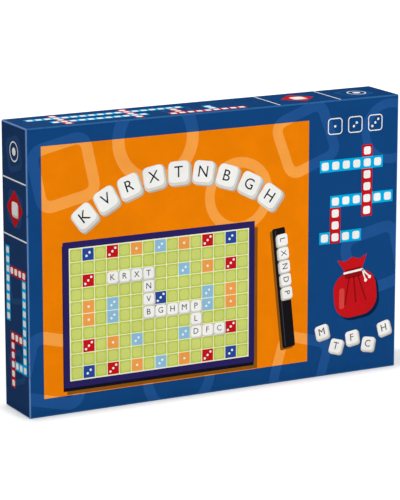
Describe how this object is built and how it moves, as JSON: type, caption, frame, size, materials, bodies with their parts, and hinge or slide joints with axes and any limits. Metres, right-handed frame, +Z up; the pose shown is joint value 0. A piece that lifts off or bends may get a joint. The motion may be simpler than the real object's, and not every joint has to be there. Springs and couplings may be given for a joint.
{
  "type": "boxed word tile game",
  "caption": "Flat set-up game box standing on a long edge, with a full-depth lid, tray, folding board, rules sheet, formed insert, racks and stacked letter tiles.",
  "frame": {"origin": "middle of the face that the box stands on, on the floor", "axes": "+X along the width, +Y from the printed front to the back, +Z up"},
  "size_m": [0.37, 0.052, 0.255],
  "materials": {
    "greyboard": "plain grey board",
    "kraft_tape": "plain kraft paper",
    "lid_print": "gloss laminated print",
    "tray_print": "gloss laminated print",
    "insert_plastic": "formed plastic sheet",
    "rules_paper": "plain paper",
    "board_print": "satin print",
    "board_backing": "embossed paper",
    "rack_plastic": "satin plastic",
    "tile_plastic": "gloss plastic"
  },
  "bodies": {
    "tray": {"tray_board": "greyboard", "tray_wrap": "tray_print", "tray_corner_stays": "kraft_tape"},
    "lid": {"lid_board": "greyboard", "lid_wrap": "lid_print", "lid_corner_stays": "kraft_tape"},
    "insert": {"insert": "insert_plastic"},
    "rules_sheet": {"rules_sheet": "rules_paper"},
    "board_lower": {"board_lower_panel": "greyboard", "board_lower_print": "board_print", "board_lower_backing": "board_backing", "board_fold_strip": "board_backing"},
    "board_upper": {"board_upper_panel": "greyboard", "board_upper_print": "board_print", "board_upper_backing": "board_backing"},
    "rack_1": {"rack_1": "rack_plastic"},
    "rack_2": {"rack_2": "rack_plastic"},
    "rack_3": {"rack_3": "rack_plastic"},
    "rack_4": {"rack_4": "rack_plastic"},
    "tile_stack_01": {"tile_stack_01": "tile_plastic"},
    "tile_stack_02": {"tile_stack_02": "tile_plastic"},
    "tile_stack_03": {"tile_stack_03": "tile_plastic"},
    "tile_stack_04": {"tile_stack_04": "tile_plastic"},
    "tile_stack_05": {"tile_stack_05": "tile_plastic"},
    "tile_stack_06": {"tile_stack_06": "tile_plastic"},
    "tile_stack_07": {"tile_stack_07": "tile_plastic"},
    "tile_stack_08": {"tile_stack_08": "tile_plastic"},
    "tile_stack_09": {"tile_stack_09": "tile_plastic"},
    "tile_stack_10": {"tile_stack_10": "tile_plastic"},
    "tile_stack_11": {"tile_stack_11": "tile_plastic"},
    "tile_stack_12": {"tile_stack_12": "tile_plastic"},
    "tile_stack_13": {"tile_stack_13": "tile_plastic"},
    "tile_stack_14": {"tile_stack_14": "tile_plastic"},
    "tile_stack_15": {"tile_stack_15": "tile_plastic"},
    "tile_stack_16": {"tile_stack_16": "tile_plastic"},
    "tile_stack_17": {"tile_stack_17": "tile_plastic"},
    "tile_stack_18": {"tile_stack_18": "tile_plastic"},
    "tile_stack_19": {"tile_stack_19": "tile_plastic"},
    "tile_stack_20": {"tile_stack_20": "tile_plastic"}
  },
  "joints": [
    {"name": "lid_lift", "type": "slide", "parent": "tray", "child": "lid", "axis": [0, -1, 0], "range_m": [0, 1]},
    {"name": "insert_lift", "type": "slide", "parent": "tray", "child": "insert", "axis": [0, -1, 0], "range_m": [0, 0.06]},
    {"name": "rules_sheet_lift", "type": "slide", "parent": "tray", "child": "rules_sheet", "axis": [0, -1, 0], "range_m": [0, 0.14]},
    {"name": "board_lower_lift", "type": "slide", "parent": "tray", "child": "board_lower", "axis": [0, -1, 0], "range_m": [0, 0.18]},
    {"name": "rack_1_lift", "type": "slide", "parent": "insert", "child": "rack_1", "axis": [0, -1, 0], "range_m": [0, 0.04]},
    {"name": "rack_2_lift", "type": "slide", "parent": "insert", "child": "rack_2", "axis": [0, -1, 0], "range_m": [0, 0.04]},
    {"name": "rack_3_lift", "type": "slide", "parent": "insert", "child": "rack_3", "axis": [0, -1, 0], "range_m": [0, 0.04]},
    {"name": "rack_4_lift", "type": "slide", "parent": "insert", "child": "rack_4", "axis": [0, -1, 0], "range_m": [0, 0.04]},
    {"name": "tile_stack_01_lift", "type": "slide", "parent": "insert", "child": "tile_stack_01", "axis": [0, -1, 0], "range_m": [0, 0.05]},
    {"name": "tile_stack_02_lift", "type": "slide", "parent": "insert", "child": "tile_stack_02", "axis": [0, -1, 0], "range_m": [0, 0.05]},
    {"name": "tile_stack_03_lift", "type": "slide", "parent": "insert", "child": "tile_stack_03", "axis": [0, -1, 0], "range_m": [0, 0.05]},
    {"name": "tile_stack_04_lift", "type": "slide", "parent": "insert", "child": "tile_stack_04", "axis": [0, -1, 0], "range_m": [0, 0.05]},
    {"name": "tile_stack_05_lift", "type": "slide", "parent": "insert", "child": "tile_stack_05", "axis": [0, -1, 0], "range_m": [0, 0.05]},
    {"name": "tile_stack_06_lift", "type": "slide", "parent": "insert", "child": "tile_stack_06", "axis": [0, -1, 0], "range_m": [0, 0.05]},
    {"name": "tile_stack_07_lift", "type": "slide", "parent": "insert", "child": "tile_stack_07", "axis": [0, -1, 0], "range_m": [0, 0.05]},
    {"name": "tile_stack_08_lift", "type": "slide", "parent": "insert", "child": "tile_stack_08", "axis": [0, -1, 0], "range_m": [0, 0.05]},
    {"name": "tile_stack_09_lift", "type": "slide", "parent": "insert", "child": "tile_stack_09", "axis": [0, -1, 0], "range_m": [0, 0.05]},
    {"name": "tile_stack_10_lift", "type": "slide", "parent": "insert", "child": "tile_stack_10", "axis": [0, -1, 0], "range_m": [0, 0.05]},
    {"name": "tile_stack_11_lift", "type": "slide", "parent": "insert", "child": "tile_stack_11", "axis": [0, -1, 0], "range_m": [0, 0.05]},
    {"name": "tile_stack_12_lift", "type": "slide", "parent": "insert", "child": "tile_stack_12", "axis": [0, -1, 0], "range_m": [0, 0.05]},
    {"name": "tile_stack_13_lift", "type": "slide", "parent": "insert", "child": "tile_stack_13", "axis": [0, -1, 0], "range_m": [0, 0.05]},
    {"name": "tile_stack_14_lift", "type": "slide", "parent": "insert", "child": "tile_stack_14", "axis": [0, -1, 0], "range_m": [0, 0.05]},
    {"name": "tile_stack_15_lift", "type": "slide", "parent": "insert", "child": "tile_stack_15", "axis": [0, -1, 0], "range_m": [0, 0.05]},
    {"name": "tile_stack_16_lift", "type": "slide", "parent": "insert", "child": "tile_stack_16", "axis": [0, -1, 0], "range_m": [0, 0.05]},
    {"name": "tile_stack_17_lift", "type": "slide", "parent": "insert", "child": "tile_stack_17", "axis": [0, -1, 0], "range_m": [0, 0.05]},
    {"name": "tile_stack_18_lift", "type": "slide", "parent": "insert", "child": "tile_stack_18", "axis": [0, -1, 0], "range_m": [0, 0.05]},
    {"name": "tile_stack_19_lift", "type": "slide", "parent": "insert", "child": "tile_stack_19", "axis": [0, -1, 0], "range_m": [0, 0.05]},
    {"name": "tile_stack_20_lift", "type": "slide", "parent": "insert", "child": "tile_stack_20", "axis": [0, -1, 0], "range_m": [0, 0.05]},
    {"name": "board_fold", "type": "hinge", "parent": "board_lower", "child": "board_upper", "pos_m": [0, -0.01875, 0.24475], "axis": [-1, 0, 0], "range_deg": [0, 180]}
  ],
  "couplings": [
    {"joint": "insert_lift", "follows": "lid_lift", "ratio": 0.06},
    {"joint": "rules_sheet_lift", "follows": "lid_lift", "ratio": 0.14},
    {"joint": "board_lower_lift", "follows": "lid_lift", "ratio": 0.18},
    {"joint": "rack_1_lift", "follows": "lid_lift", "ratio": 0.04},
    {"joint": "rack_2_lift", "follows": "lid_lift", "ratio": 0.04},
    {"joint": "rack_3_lift", "follows": "lid_lift", "ratio": 0.04},
    {"joint": "rack_4_lift", "follows": "lid_lift", "ratio": 0.04},
    {"joint": "tile_stack_01_lift", "follows": "lid_lift", "ratio": 0.05},
    {"joint": "tile_stack_02_lift", "follows": "lid_lift", "ratio": 0.05},
    {"joint": "tile_stack_03_lift", "follows": "lid_lift", "ratio": 0.05},
    {"joint": "tile_stack_04_lift", "follows": "lid_lift", "ratio": 0.05},
    {"joint": "tile_stack_05_lift", "follows": "lid_lift", "ratio": 0.05},
    {"joint": "tile_stack_06_lift", "follows": "lid_lift", "ratio": 0.05},
    {"joint": "tile_stack_07_lift", "follows": "lid_lift", "ratio": 0.05},
    {"joint": "tile_stack_08_lift", "follows": "lid_lift", "ratio": 0.05},
    {"joint": "tile_stack_09_lift", "follows": "lid_lift", "ratio": 0.05},
    {"joint": "tile_stack_10_lift", "follows": "lid_lift", "ratio": 0.05},
    {"joint": "tile_stack_11_lift", "follows": "lid_lift", "ratio": 0.05},
    {"joint": "tile_stack_12_lift", "follows": "lid_lift", "ratio": 0.05},
    {"joint": "tile_stack_13_lift", "follows": "lid_lift", "ratio": 0.05},
    {"joint": "tile_stack_14_lift", "follows": "lid_lift", "ratio": 0.05},
    {"joint": "tile_stack_15_lift", "follows": "lid_lift", "ratio": 0.05},
    {"joint": "tile_stack_16_lift", "follows": "lid_lift", "ratio": 0.05},
    {"joint": "tile_stack_17_lift", "follows": "lid_lift", "ratio": 0.05},
    {"joint": "tile_stack_18_lift", "follows": "lid_lift", "ratio": 0.05},
    {"joint": "tile_stack_19_lift", "follows": "lid_lift", "ratio": 0.05},
    {"joint": "tile_stack_20_lift", "follows": "lid_lift", "ratio": 0.05},
    {"joint": "board_fold", "follows": "lid_lift", "rad_per_m": 3.1415}
  ]
}
